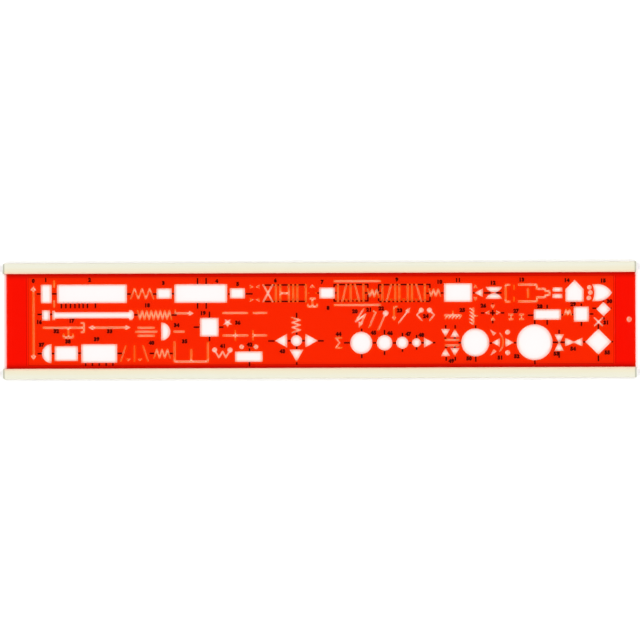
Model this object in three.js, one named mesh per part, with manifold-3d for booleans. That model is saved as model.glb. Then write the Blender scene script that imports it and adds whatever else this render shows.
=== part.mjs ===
// Symbol drawing template for circuit diagrams: a thin see-through plastic sheet cut with symbols,
// its two long edges pressed into slotted plastic rails that lift it off the paper.
// Millimetres, +Z up, X along the length, Y across it. The origin is on the paper, under the middle.

import * as THREE from "three";
import { mergeVertices } from "three/addons/utils/BufferGeometryUtils.js";
import Module from "manifold-3d";

const wasm = await Module();
wasm.setup();

// Sheet
const sheetThickness = 1.2;
const fieldRecess = 0.4; // the field of symbols is this much thinner than the ends
const recessSlope = 1.0; // length of the slope down into the field at each end
const recessBorder = 1.6; // full thickness left beside each rail
const endGrip = 9.4; // plain full thickness at each end of the sheet
const endChamfer = 0.4;
const hangingHoleRadius = 1.25;
const hangingHoleInset = 3.1; // from the right end of the sheet

// Blank sheet left round the outermost symbols
const leftBand = 1.0;
const rightBand = 0.8;
const lowerBand = 2.7;
const upperBand = 3.0;

// Rails
const railWidth = 5.0;
const paperGap = 0.7; // how far the rails hold the sheet off the paper
const slotDepth = 3.0;
const slotClearance = 0.05; // above and below the sheet
const slotEndGap = 0.25; // behind the sheet's edge
const railEdgeRadius = 0.5;
const lipBevelWidth = 0.7;
const lipBevelDrop = 0.25;
const railEndRadius = 1.2; // outer corner of the left ends
const railOverhangLeft = 1.6;
const railOverhangRight = 0.3;

// Widths of the slots, set by the pen's point and not by the size of the symbols
const penSlot = 0.9;
const controlSlot = 0.8;
const valveSlot = 0.85;
const springSlot = 0.7;
const neckWidth = 0.5; // where two symbols meet point to point

// Cutting
const slotEndFacets = 4; // even, so that a facet corner stands at the very tip
const chordError = 0.015; // how far a facet of a larger curve may lie inside its true line
const cutterMargin = 1.0; // how far a cutter runs past both faces of the sheet

// The symbols are laid out on a grid of this pitch. Their own sizes and places are in its units.
const gridPitch = 1.0;

// How far each row's centre line stands above the row before it, from the lowest row up
const motorRise = 4.6;
const lineRise = 7.65;
const plungerRise = 5.85;
const valveRise = 10.15;

// Sizes that several symbols share
const blockHeight = 8.8;
const slimBlockHeight = 4.9;
const ballRadius = 1.2;
const smallBallRadius = 1.1;
const headLength = 2.3;
const headWidth = 2.6;

// A length in millimetres, in units of the grid.
const units = (length) => length / gridPitch;

const [blockSide, slimSide] = [units(blockHeight), units(slimBlockHeight)];

// Centre lines of the rows, counted up from the cylinder row
const row = { cylinder: 0 };
row.motor = row.cylinder + units(motorRise);
row.line = row.motor + units(lineRise);
row.plunger = row.line + units(plungerRise);
row.valve = row.plunger + units(valveRise);

// Number of facets for an arc, a multiple of four so that a circle touches its own box on every side.
function arcFacets(radius, sweep) {
  const step = 2 * Math.acos(1 - chordError / radius);
  return 4 * Math.ceil(Math.abs(sweep) / step / 4);
}

// Points along an arc, from angle to angle in radians, both ends included.
function arcPoints(x, y, radius, from, to, count = arcFacets(radius, to - from)) {
  return Array.from({ length: count + 1 }, (_, i) => {
    const angle = from + ((to - from) * i) / count;
    return new THREE.Vector2(x + radius * Math.cos(angle), y + radius * Math.sin(angle));
  });
}

// A place on the grid, in millimetres.
function onGrid([x, y]) {
  return new THREE.Vector2(x, y).multiplyScalar(gridPitch);
}

// Outline through corners given as places on the grid.
function polygon(...corners) {
  return corners.map(onGrid);
}

// Outline through corners given in millimetres.
function outline(...corners) {
  return corners.map(([x, y]) => new THREE.Vector2(x, y));
}

// Arc whose centre and radius are given in units of the grid.
function arc(x, y, radius, from, to) {
  return arcPoints(x * gridPitch, y * gridPitch, radius * gridPitch, from, to);
}

function circle({ x, y, radius }) {
  return arc(x, y, radius, 0, 2 * Math.PI).slice(0, -1);
}

function rectangle({ x, y, width, height }) {
  const [w, h] = [width / 2, height / 2];
  return polygon([x - w, y - h], [x + w, y - h], [x + w, y + h], [x - w, y + h]);
}

function diamond({ x, y, reach }) {
  return polygon([x - reach, y], [x, y - reach], [x + reach, y], [x, y + reach]);
}

// Half disc whose flat side stands at x and whose round side faces toward, +1 or -1 along X.
function halfDisc({ x, y, radius, toward }) {
  const start = toward > 0 ? -Math.PI / 2 : Math.PI / 2;
  return arc(x, y, radius, start, start + Math.PI);
}

// Segment of a circle cut off by a level chord, its belly below the chord, or above for a negative drop.
function bowl({ x, y, chord, drop }) {
  const radius = (chord * chord) / (8 * Math.abs(drop)) + Math.abs(drop) / 2;
  const half = Math.asin(chord / 2 / radius);
  const middle = drop > 0 ? -Math.PI / 2 : Math.PI / 2;
  const centreY = y - drop + Math.sign(drop) * radius;
  return arc(x, centreY, radius, middle - half, middle + half);
}

// Solid arrowhead with its tip at a point, looking along an angle in degrees.
function head({ x, y, angle, length = units(headLength), width = units(headWidth) }) {
  const turn = THREE.MathUtils.degToRad(angle);
  const [c, d] = [Math.cos(turn), Math.sin(turn)];
  const corner = (half) => [x - length * c - half * d, y - length * d + half * c];
  return polygon([x, y], corner(width / 2), corner(-width / 2));
}

// Round-ended slot for a pen between two places on the grid, its width in millimetres.
function slot(from, to, width = penSlot) {
  const [p, q] = [onGrid(from), onGrid(to)];
  const angle = Math.atan2(q.y - p.y, q.x - p.x);
  const quarter = Math.PI / 2;
  const far = arcPoints(q.x, q.y, width / 2, angle - quarter, angle + quarter, slotEndFacets);
  const near = arcPoints(p.x, p.y, width / 2, angle + quarter, angle + 3 * quarter, slotEndFacets);
  return [...far, ...near];
}

// Slots end to end through a row of points.
function track(points, width = penSlot) {
  return points.slice(1).map((p, i) => slot(points[i], p, width));
}

// Slot with a head at its second end, or at both.
function arrow(from, to, options = {}) {
  const { both = false, width = penSlot } = options;
  const { length = units(headLength), spread = units(headWidth) } = options;
  const angle = THREE.MathUtils.radToDeg(Math.atan2(to[1] - from[1], to[0] - from[0]));
  const along = new THREE.Vector2(to[0] - from[0], to[1] - from[1]).normalize();
  const inset = length * 0.75;
  const start = both ? [from[0] + along.x * inset, from[1] + along.y * inset] : from;
  const end = [to[0] - along.x * inset, to[1] - along.y * inset];
  const size = { length, width: spread };
  const outlines = [slot(start, end, width), head({ x: to[0], y: to[1], angle, ...size })];
  if (both) outlines.push(head({ x: from[0], y: from[1], angle: angle + 180, ...size }));
  return outlines;
}

// Zigzag spring: strokes slots of one length, running along X or, if upright, along Y.
function spring({ x, y, step, strokes, swing, startUp = false, upright = false }) {
  const points = Array.from({ length: strokes + 1 }, (_, i) => {
    const side = (i % 2 === 0) === startUp ? swing / 2 : -swing / 2;
    return upright ? [x + side, y - i * step] : [x + i * step, y + side];
  });
  return track(points, springSlot);
}

// Two triangles joined at their tips by a narrow neck, along X or, if upright, along Y.
function bowTie({ x, y, reach, spread, upright = false }) {
  const [s, n] = [spread / 2, units(neckWidth) / 2];
  const corners = [[-reach, -s], [0, -n], [reach, -s], [reach, s], [0, n], [-reach, s]];
  return polygon(...corners.map(([a, b]) => (upright ? [x - b, y + a] : [x + a, y + b])));
}

// Ground mark: a bar with five hatch strokes below it and a stub above, or the same turned clockwise.
function ground({ x, y, length, turned = false }) {
  const hatch = { strokes: 5, pitch: 1.65, lean: 0.95, drop: 1.6, shift: 0.7 };
  const stub = [0, 2.0];
  const place = ([a, b]) => (turned ? [x + b, y - a] : [x + a, y + b]);
  const bar = slot(place([-length / 2, 0]), place([length / 2, 0]));
  const outlines = [bar, slot(place([0, 0]), place(stub), springSlot)];
  for (let i = 0; i < hatch.strokes; i++) {
    const foot = hatch.shift + (i - (hatch.strokes - 1) / 2) * hatch.pitch;
    outlines.push(slot(place([foot, 0]), place([foot - hatch.lean, -hatch.drop]), springSlot));
  }
  return outlines;
}

// Five-pointed star standing on one point.
function star({ x, y, radius, waist }) {
  const points = Array.from({ length: 10 }, (_, i) => {
    const angle = -Math.PI / 2 + (i * Math.PI) / 5;
    const reach = i % 2 === 0 ? radius : radius * waist;
    return [x + reach * Math.cos(angle), y + reach * Math.sin(angle)];
  });
  return polygon(...points);
}

// Upright valve slots between the two long sides of a valve block.
function valveLines(places, y) {
  const half = blockSide / 2 - units(valveSlot) / 2;
  return places.map((x) => slot([x, y - half], [x, y + half], valveSlot));
}

// Slanted flow slot in a valve block, from its top at one place to its foot at another.
function flowLine(top, foot, y) {
  const half = blockSide / 2 - units(valveSlot) / 2;
  return slot([top, y + half], [foot, y - half], valveSlot);
}

// Upper row: cylinders, valve blocks, stepped housing, filter and gate symbols.
function upperRow() {
  const y = row.valve;
  const drain = { x: 14.2, near: 3.3, far: 6.1 };
  const corner = { near: 2.4, mid: 2.9, far: 4.1, width: 1.9 };
  const flowCorner = (x, toward, s) => {
    const point = [x + toward * corner.width, y + s * corner.mid];
    return polygon([x, y + s * corner.far], [x, y + s * corner.near], point);
  };
  const half = blockSide / 2;
  const foot = y - half + 0.3;
  const smallTip = (x) => head({ x, y: foot, angle: -90, length: 1.3, width: 1.4 });
  return [
    rectangle({ x: 10.5, y, width: 5.1, height: blockSide }),
    ...[1, -1].map((s) => slot([drain.x, y + s * drain.near], [drain.x, y + s * drain.far])),
    rectangle({ x: 32.15, y, width: 33.1, height: blockSide }),
    ...spring({ x: 50.5, y, step: 1.8, strokes: 6, swing: 4.9 }),
    rectangle({ x: 66.35, y, width: 7.1, height: slimSide }),
    rectangle({ x: 83.7, y, width: 25.0, height: blockSide }),
    rectangle({ x: 101.05, y, width: 7.1, height: slimSide }),
    ...[1, -1].flatMap((s) => [flowCorner(107.0, 1, s), flowCorner(111.5, -1, s)]),

    // four-way valve block: crossed paths, closed paths and a through path
    flowLine(113.4, 117.7, y),
    flowLine(117.7, 113.4, y),
    ...valveLines([119.3, 121.4, 125.4, 127.5, 129.5, 133.5], y),
    slot([121.4, y], [125.4, y]),
    head({ x: 136.6, y: y + 4.2, angle: 90, length: 1.6, width: 2.6 }),
    ...[134.9, 138.3].map((x) => circle({ x, y, radius: 0.35 })),
    ...track([[135.4, y - 2.6], [137.9, y - 2.6]]),
    ...track([[136.6, y - 2.6], [136.6, y - 6.4]], valveSlot),
    ...track([[134.5, y - 5.2], [134.5, y - 6.4], [138.8, y - 6.4], [138.8, y - 5.2]], valveSlot),
    rectangle({ x: 143.55, y, width: 7.3, height: 5.2 }),

    // two-position valve block between its long bars, with its return spring
    ...[half + 1.2, -half - 1.3].map((rise) => slot([147.05, y + rise], [168.85, y + rise])),
    ...valveLines([148.7, 154.7, 160.8], y),
    flowLine(152.7, 150.8, y),
    flowLine(156.8, 158.8, y),
    ...[152.7, 156.8].map(smallTip),
    ...spring({ x: 162.8, y: y - 0.1, step: 1.05, strokes: 5, swing: 3.7, startUp: true }),

    // three-position valve block and its spring
    ...valveLines([169.8, 175.9, 177.8, 181.8, 183.8, 189.9], y),
    flowLine(173.9, 171.8, y),
    flowLine(185.9, 188.1, y),
    ...[173.9, 179.8, 185.9].map(smallTip),
    ...spring({ x: 191.8, y, step: 1.1, strokes: 5, swing: 3.5, startUp: true }),

    rectangle({ x: 205.65, y, width: 13.3, height: blockSide }),
    head({ x: 213.85, y: y + 4.0, angle: 90, length: 1.8, width: 1.9 }),
    head({ x: 213.85, y: y - 4.2, angle: -90, length: 2.1, width: 1.9 }),
    head({ x: 213.5, y: y - 0.15, angle: 180, length: 3.8, width: 4.1 }),
    bowl({ x: 222.6, y: y + 2.7, chord: 7.8, drop: 2.6 }),
    bowl({ x: 222.6, y: y - 3.0, chord: 7.8, drop: -2.6 }),

    // stepped housing drawn as one outline, open at its left end
    ...track([[230.2, y + 3.6], [228.2, y + 3.6], [228.2, y - 4.4], [230.2, y - 4.4]]),
    slot([232.15, y + 1.4], [232.15, y + 3.4], springSlot),
    slot([232.15, y - 2.2], [232.15, y - 4.1], springSlot),
    ...track([
      [234.3, y + 3.65],
      [242.9, y + 3.65],
      [242.9, y + 1.65],
      [246.9, y + 1.65],
      [246.9, y + 0.6],
      [249.0, y + 0.6],
      [249.0, y - 1.3],
      [246.9, y - 1.3],
      [246.9, y - 2.35],
      [242.9, y - 2.35],
      [242.9, y - 4.3],
      [234.3, y - 4.3],
    ]),
    slot([238.8, y + 1.8], [238.8, y - 2.4]),
    ...[1.3, -1.8].map((rise) => rectangle({ x: 252.7, y: y + rise, width: 4.6, height: 2.0 })),

    polygon([256.5, y - 4.5], [265.1, y - 4.5], [265.1, y + 1.4], [260.9, y + 5.9], [256.5, y + 1.4]),
    ...[[267.8, 2.25], [268.3, -0.15], [267.6, -2.75]].map(([x, rise]) =>
      circle({ x, y: y + rise, radius: units(smallBallRadius) }),
    ),
    gate({ x: 269.1, y: y - 0.25, height: 8.0, straight: 2.6, length: 9.4, hollow: 1.1 }),
  ];
}

// Gate symbol: hollow back, two straight sides, and two arcs that meet in a tip.
function gate({ x, y, height, straight, length, hollow }) {
  const half = height / 2;
  const backRadius = (half * half + hollow * hollow) / (2 * hollow);
  const backHalf = Math.asin(half / backRadius);
  const back = arc(x + hollow - backRadius, y, backRadius, backHalf, -backHalf);
  const run = length - straight;
  const noseRadius = (run * run + half * half) / (2 * half);
  const sweep = Math.asin(run / noseRadius);
  const lower = arc(x + straight, y - half + noseRadius, noseRadius, -Math.PI / 2, -Math.PI / 2 + sweep);
  const upper = arc(x + straight, y + half - noseRadius, noseRadius, Math.PI / 2 - sweep, Math.PI / 2);
  return [...back, ...lower, ...upper.slice(1)];
}

// Middle row: plunger, long spring, control levers, ground marks, small blocks and diamond.
function middleRow() {
  const y = row.plunger;
  const ball = (x, rise) => circle({ x, y: y + rise, radius: units(ballRadius) });
  const pinch = (x, level) => [
    rectangle({ x, y: level + 1.05, width: 2.4, height: 0.85 }),
    rectangle({ x, y: level - 1.05, width: 2.4, height: 0.85 }),
    rectangle({ x, y: level, width: units(neckWidth), height: 1.4 }),
  ];
  const compass = { x: 222.05, y: y + 0.6, near: 1.6, far: 3.7, width: 2.1 };
  const reach = compass.far - compass.near;
  const cross = { left: 270.25, right: 273.95, top: y - 2.1, bottom: y - 5.8 };
  return [
    rectangle({ x: 10.35, y, width: 3.7, height: slimSide }),
    rectangle({ x: 14.0, y, width: 1.2, height: 4.6 }),
    rectangle({ x: 32.2, y, width: 36.0, height: 2.9 }),
    polygon(
      [49.8, y - 2.45],
      [51.0, y - 2.35],
      [51.9, y - 1.2],
      [51.9, y + 1.2],
      [51.0, y + 2.35],
      [49.8, y + 2.45],
    ),
    ...spring({ x: 53.8, y, step: 1.07, strokes: 15, swing: 4.4, startUp: true }),
    slot([71.6, y + 0.8], [71.6, y + 2.4], springSlot),
    ...arrow([71.6, y + 0.8], [80.4, y + 0.8]),
    slot([94.15, y + 0.85], [105.85, y + 0.85]),
    slot([108.6, y + 0.85], [114.8, y + 0.85]),
    ...spring({ x: 128.85, y: y - 1.45, step: 1.17, strokes: 6, swing: 4.0, upright: true }),

    // controls: lightning flash, flag, lever, hook, arrow and two rollers on cranks
    ...track([[160.8, y + 2.5], [157.1, y - 3.4], [161.7, y], [159.8, y - 4.0]], controlSlot),
    head({ x: 158.6, y: y - 6.6, angle: -108, length: 3.0, width: 2.2 }),
    ...track([[165.5, y + 1.5], [166.6, y + 1.0], [163.5, y - 6.1]], controlSlot),
    circle({ x: 171.3, y: y + 0.5, radius: 1.35 }),
    slot([171.3, y + 0.5], [167.8, y - 7.5], controlSlot),
    ...track([[176.7, y + 3.6], [175.3, y + 3.5], [175.3, y - 1.7]], controlSlot),
    head({ x: 175.3, y: y - 3.3, angle: -90, length: 2.0, width: 2.1 }),
    ...arrow([177.5, y - 4.1], [183.0, y + 3.2], { width: controlSlot, length: 2.6, spread: 2.2 }),
    ball(188.1, 1.9),
    ...track([[187.3, y + 1.1], [186.2, y - 0.4], [188.3, y - 2.9]], controlSlot),
    ball(192.0, 1.9),
    ...track([[192.9, y + 1.1], [194.2, y - 0.4], [192.2, y - 3.0]], controlSlot),

    ...ground({ x: 203.15, y: y - 0.6, length: 7.6 }),
    ...ground({ x: 212.8, y: y - 0.9, length: 7.2, turned: true }),
    head({ x: compass.x, y: compass.y + compass.near, angle: -90, length: reach, width: compass.width }),
    head({ x: compass.x, y: compass.y - compass.near, angle: 90, length: reach, width: compass.width }),
    head({ x: compass.x + compass.far, y: compass.y, angle: 0, length: reach, width: compass.width }),
    head({ x: compass.x - compass.far, y: compass.y, angle: 180, length: reach, width: compass.width }),
    ...pinch(230.65, y - 1.45),
    ...pinch(235.65, y - 1.45),

    rectangle({ x: 247.9, y: y - 0.4, width: 12.8, height: slimSide }),
    ...spring({ x: 256.0, y: y + 0.65, step: 0.8, strokes: 4, swing: 2.7 }),
    rectangle({ x: 264.0, y: y - 0.25, width: 7.1, height: 7.1 }),
    diamond({ x: 274.5, y: y + 2.1, reach: 3.4 }),
    slot([cross.left, cross.top], [cross.right, cross.bottom], controlSlot),
    slot([cross.left, cross.bottom], [cross.right, cross.top], controlSlot),
  ];
}

// Inner row: connection lines, square, star, line crossings and the half disc.
function innerRow() {
  const y = row.line;
  const stem = y - 4.65;
  const joined = y - 3.95;
  const trio = y - 2.05;
  return [
    slot([9.05, y], [28.3, y]),
    ...track([[27.0, y + 2.2], [28.3, y + 2.2], [28.3, y - 2.1], [27.0, y - 2.1]]),
    slot([20.9, y], [20.9, stem], valveSlot),
    ...track([[18.7, stem + 1.6], [18.7, stem], [23.1, stem], [23.1, stem + 1.6]], valveSlot),
    ...arrow([30.2, y], [50.6, y], { both: true, length: 2.6, spread: 2.4 }),
    slot([54.0, trio + 1.9], [61.6, trio + 1.9]),
    slot([52.9, trio], [62.8, trio]),
    slot([54.0, trio - 1.9], [61.6, trio - 1.9]),
    halfDisc({ x: 64.9, y: trio + 0.1, radius: 4.3, toward: 1 }),
    slot([71.0, trio], [75.8, trio]),
    rectangle({ x: 87.7, y, width: blockSide, height: blockSide }),
    star({ x: 96.4, y: y + 2.0, radius: 2.4, waist: 0.42 }),
    slot([94.25, joined], [105.95, joined]),
    slot([100.0, joined - 2.3], [100.0, joined + 2.4], springSlot),
    slot([108.4, joined], [114.8, joined]),
    slot([108.4, joined - 2.2], [108.4, joined + 2.3], springSlot),
  ];
}

// Lower row: cylinders, tank, motors and pumps as circles, check valves and the large diamond.
function lowerRow() {
  const y = row.cylinder;
  const m = row.motor;
  const ball = (x, level, radius = units(ballRadius)) => circle({ x, y: level, radius });
  const tank = { left: 71.2, right: 87.0, middle: 79.1, floor: y - 4.0, rim: y + 5.4, lip: y + 1.7 };
  const stack = { left: 199.6, right: 204.05, near: 2.65, far: 6.4, width: 4.3 };
  const stackHead = (x, s, inward) =>
    head({
      x,
      y: m + s * (inward ? stack.near : stack.far),
      angle: (inward ? -s : s) * 90,
      length: stack.far - stack.near,
      width: stack.width,
    });
  return [
    ...arrow([4.4, y - 3.2], [4.4, row.valve + 3.85], { both: true, length: 2.2, spread: 2.8 }),
    halfDisc({ x: 12.9, y, radius: 4.5, toward: -1 }),
    rectangle({ x: 19.9, y, width: 11.0, height: 7.0 }),
    rectangle({ x: 35.5, y, width: 17.0, height: blockSide }),
    slot([48.1, y + 3.6], [45.7, y - 3.7], springSlot),
    slot([52.2, y + 3.6], [52.2, y - 3.8], springSlot),
    slot([56.3, y + 3.6], [58.6, y - 3.7], springSlot),
    ...[49.3, 54.8].map((x) => head({ x, y: y - 3.8, angle: -90, length: 1.3, width: 2.4 })),
    ...spring({ x: 61.5, y: y - 0.15, step: 1.26, strokes: 6, swing: 4.2 }),
    slot([tank.left, tank.rim], [tank.left, tank.floor]),
    slot([tank.left, tank.floor], [tank.right, tank.floor]),
    slot([tank.right, tank.floor], [tank.right, tank.rim - 0.3]),
    slot([tank.middle, tank.floor], [tank.middle, tank.lip]),
    ball(90.2, y + 1.5),
    ball(97.5, y + 1.4),
    ...track(
      [[90.4, y + 1.1], [92.2, y - 2.2], [94.0, y + 0.8], [95.5, y - 2.2], [97.3, y + 1.1]],
      controlSlot,
    ),
    rectangle({ x: 106.4, y: y - 1.75, width: 13.0, height: slimSide }),
    ball(103.0, y + 2.9, units(smallBallRadius)),
    ball(109.8, y + 2.9, units(smallBallRadius)),

    // motor with its three port arrows
    head({ x: 118.8, y: m + 1.15, angle: 180, length: 5.7, width: 6.5 }),
    circle({ x: 129.0, y: m + 1.15, radius: 2.6 }),
    head({ x: 139.0, y: m + 1.15, angle: 0, length: 5.8, width: 6.5 }),
    head({ x: 129.0, y: m - 8.8, angle: -90, length: 5.7, width: 6.6 }),
    ...track(
      [[150.4, m + 2.4], [147.8, m + 2.4], [149.3, m + 0.1], [147.7, m - 2.3], [150.5, m - 2.3]],
      springSlot,
    ),

    // four circles in a row, each smaller than the one before it, and two large ones
    ...[[159.7, 5.2], [170.7, 3.65], [179.1, 2.85], [185.9, 2.05], [213.7, 6.6], [241.8, 8.45]].map(
      ([x, radius]) => circle({ x, y: m, radius }),
    ),
    head({ x: 193.7, y: m, angle: 0, length: 4.3, width: 4.8 }),
    ...[1, -1].flatMap((s) => [stackHead(stack.left, s, true), stackHead(stack.right, s, false)]),
    ...[1.25, -1.35].map((rise) => slot([stack.left + 0.05, m + rise], [stack.right + 1.7, m + rise])),

    // rotary connection: wedges, arc and balls round two facing arrows
    polygon([220.6, m + 6.2], [223.7, m + 4.4], [222.3, m + 3.1]),
    polygon([220.7, m - 6.4], [223.8, m - 4.3], [222.4, m - 3.2]),
    head({ x: 221.6, y: m - 0.05, angle: 180, length: 3.7, width: 4.1 }),
    ...arcTrack({ x: 220.1, y: m + 0.1, radius: 6.8, spread: 38, steps: 8 }),
    head({ x: 231.9, y: m - 0.1, angle: 0, length: 3.9, width: 4.1 }),
    ball(229.0, m + 4.8),
    ball(229.0, m - 4.9),

    bowTie({ x: 253.45, y: m - 0.2, reach: 3.9, spread: 4.5, upright: true }),
    bowTie({ x: 260.35, y: m, reach: 4.1, spread: 4.1 }),
    diamond({ x: 272.0, y: m + 0.15, reach: 6.15 }),
  ];
}

// Curved slot, drawn as short slots along an arc that spreads this many degrees to each side of +X.
function arcTrack({ x, y, radius, spread, steps }) {
  const points = Array.from({ length: steps + 1 }, (_, i) => {
    const angle = THREE.MathUtils.degToRad(-spread + (2 * spread * i) / steps);
    return [x + radius * Math.cos(angle), y + radius * Math.sin(angle)];
  });
  return track(points, springSlot);
}

// A closed geometry as a solid that can be cut and joined.
function toSolid(geometry) {
  const bare = geometry.clone();
  bare.deleteAttribute("normal");
  bare.deleteAttribute("uv");
  const merged = mergeVertices(bare, 1e-4);
  return new wasm.Manifold(
    new wasm.Mesh({
      numProp: 3,
      vertProperties: merged.attributes.position.array,
      triVerts: new Uint32Array(merged.index.array),
    }),
  );
}

// A solid back as a flat-shaded geometry.
function toGeometry(solid) {
  const mesh = solid.getMesh();
  const geometry = new THREE.BufferGeometry();
  geometry.setAttribute("position", new THREE.BufferAttribute(mesh.vertProperties, 3));
  geometry.setIndex(new THREE.BufferAttribute(mesh.triVerts, 1));
  const flat = geometry.toNonIndexed();
  flat.computeVertexNormals();
  return flat;
}

// Prism over an outline on the XY plane, between two heights.
function prism(shape, bottom, top) {
  const options = { depth: top - bottom, bevelEnabled: false };
  return new THREE.ExtrudeGeometry(new THREE.Shape(shape), options).translate(0, 0, bottom);
}

// Outline on the YZ plane, run along X from one place to another.
function runAlongX(profile, from, to) {
  const basis = new THREE.Matrix4().makeBasis(
    new THREE.Vector3(0, 1, 0),
    new THREE.Vector3(0, 0, 1),
    new THREE.Vector3(1, 0, 0),
  );
  return prism(profile, from, to).applyMatrix4(basis);
}

// Outline on the XZ plane, run along Y from one place to another.
function runAlongY(profile, from, to) {
  const basis = new THREE.Matrix4().makeBasis(
    new THREE.Vector3(1, 0, 0),
    new THREE.Vector3(0, 0, 1),
    new THREE.Vector3(0, -1, 0),
  );
  return prism(profile, -to, -from).applyMatrix4(basis);
}

const cutOuts = [...upperRow(), ...middleRow(), ...innerRow(), ...lowerRow()];
const symbols = new THREE.Box2().setFromPoints(cutOuts.flat());

// The sheet is as large as its symbols need. These places are still counted from the symbols' origin.
const field = {
  left: symbols.min.x - leftBand,
  right: symbols.max.x + rightBand,
  lower: symbols.min.y - lowerBand,
  upper: symbols.max.y + upperBand,
};
const grip = slotDepth - slotEndGap; // how far each long edge goes into its rail
const sheet = {
  left: field.left - recessSlope - endGrip,
  right: field.right + recessSlope + endGrip,
  lower: field.lower - grip,
  upper: field.upper + grip,
  bottom: paperGap,
  top: paperGap + sheetThickness,
};
const rail = {
  left: sheet.left - railOverhangLeft,
  right: sheet.right + railOverhangRight,
  height: sheetThickness + 2 * paperGap,
};
const middle = new THREE.Vector2((rail.left + rail.right) / 2, (field.lower + field.upper) / 2);

// Sheet: chamfered ends, the shallow recess of the field, and every symbol cut right through.
function makeSheet() {
  const { left, right, lower, upper, bottom, top } = sheet;
  const c = endChamfer;
  const blank = runAlongY(
    outline(
      [left, bottom],
      [right, bottom],
      [right, top - c],
      [right - c, top],
      [left + c, top],
      [left, top - c],
    ),
    lower,
    upper,
  );
  const floor = top - fieldRecess;
  const rise = recessSlope / fieldRecess; // run of the slope for each millimetre of height
  const above = cutterMargin * rise;
  const recess = runAlongY(
    outline(
      [field.left, floor],
      [field.right, floor],
      [field.right + recessSlope + above, top + cutterMargin],
      [field.left - recessSlope - above, top + cutterMargin],
    ),
    field.lower + recessBorder,
    field.upper - recessBorder,
  );
  const holeX = right - hangingHoleInset;
  const hole = arcPoints(holeX, middle.y, hangingHoleRadius, 0, 2 * Math.PI).slice(0, -1);
  const tools = [...cutOuts, hole].map((shape) =>
    toSolid(prism(shape, bottom - cutterMargin, top + cutterMargin)),
  );
  const cut = toSolid(blank).subtract(wasm.Manifold.union([toSolid(recess), ...tools]));
  return toGeometry(cut);
}

// Rail: a slotted strip, its slot open toward -Y, with rounded outer edges and bevelled lips.
// Its YZ outline starts at the lip, and its left end has a rounded outer corner seen from above.
function makeRail() {
  const h = rail.height;
  const inner = field.upper;
  const outer = inner + railWidth;
  const r = railEdgeRadius;
  const slotTop = sheet.top + slotClearance;
  const slotBottom = sheet.bottom - slotClearance;
  const profile = [
    ...outline(
      [inner, slotTop],
      [inner + slotDepth, slotTop],
      [inner + slotDepth, slotBottom],
      [inner, slotBottom],
      [inner, lipBevelDrop],
      [inner + lipBevelWidth, 0],
    ),
    ...arcPoints(outer - r, r, r, -Math.PI / 2, 0),
    ...arcPoints(outer - r, h - r, r, 0, Math.PI / 2),
    ...outline([inner + lipBevelWidth, h], [inner, h - lipBevelDrop]),
  ];
  const strip = toSolid(runAlongX(profile, rail.left, rail.right));
  const e = railEndRadius;
  const plan = [
    ...outline([rail.left, inner - cutterMargin], [rail.right + cutterMargin, inner - cutterMargin]),
    ...outline([rail.right + cutterMargin, outer + cutterMargin], [rail.left + e, outer + cutterMargin]),
    ...arcPoints(rail.left + e, outer - e, e, Math.PI / 2, Math.PI),
  ];
  return toGeometry(strip.intersect(toSolid(prism(plan, -cutterMargin, h + cutterMargin))));
}

const sheetPlastic = new THREE.MeshStandardMaterial({
  name: "sheet_plastic",
  color: 0xf92408,
  roughness: 0.18,
  metalness: 0,
  transparent: true,
  opacity: 0.85,
});
const railPlastic = new THREE.MeshStandardMaterial({
  name: "rail_plastic",
  color: 0xf0ead2,
  roughness: 0.45,
  metalness: 0,
});

const template = new THREE.Group();
template.name = "symbol_template";

const sheetMesh = new THREE.Mesh(makeSheet(), sheetPlastic);
sheetMesh.name = "template_sheet";
sheetMesh.position.set(-middle.x, -middle.y, 0);
template.add(sheetMesh);

const railGeometry = makeRail().translate(-middle.x, -middle.y, 0);
const upperRail = new THREE.Mesh(railGeometry, railPlastic);
upperRail.name = "upper_rail";
template.add(upperRail);

// The lower rail is the same strip turned over about the template's long axis.
const lowerRail = new THREE.Mesh(railGeometry, railPlastic);
lowerRail.name = "lower_rail";
lowerRail.rotation.x = Math.PI;
lowerRail.position.z = rail.height;
template.add(lowerRail);

export default template;
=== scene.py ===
"""Symbol drawing template, dressed, lit and framed: a red see-through sheet cut with symbols, its index
figures and guide marks in black ink, and the two ivory rails that carry it. Blender's lengths are metres,
with X along the template, Y across it and +Z up from the paper. The sizes in the classes are millimetres.
"""

import logging
import math
from dataclasses import dataclass
from enum import Enum
from typing import Any, ClassVar

import bmesh
import bpy
import numpy as np
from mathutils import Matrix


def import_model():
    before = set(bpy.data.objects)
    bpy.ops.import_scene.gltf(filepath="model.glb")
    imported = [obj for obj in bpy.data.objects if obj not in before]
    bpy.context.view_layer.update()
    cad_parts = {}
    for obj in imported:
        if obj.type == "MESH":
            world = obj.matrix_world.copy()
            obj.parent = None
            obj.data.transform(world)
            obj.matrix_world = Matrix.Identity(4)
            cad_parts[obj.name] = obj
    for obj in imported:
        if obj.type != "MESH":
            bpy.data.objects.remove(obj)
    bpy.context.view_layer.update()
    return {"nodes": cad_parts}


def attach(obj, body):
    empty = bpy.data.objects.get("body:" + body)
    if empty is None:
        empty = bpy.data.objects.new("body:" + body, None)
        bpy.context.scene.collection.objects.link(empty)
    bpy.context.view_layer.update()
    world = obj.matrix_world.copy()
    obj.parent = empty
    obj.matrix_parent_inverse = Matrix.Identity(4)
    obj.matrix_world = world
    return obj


Socket = bpy.types.NodeSocket
Colour = tuple[float, float, float]
Triple = tuple[float, float, float]
Span = tuple[float, float]
Solid = tuple[np.ndarray, list[list[int]]]

MM = 0.001
BODY = "root"
RECESS_MM = (-138.0, 139.3, 20.9)

log = logging.getLogger("symbol_template")


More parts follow.
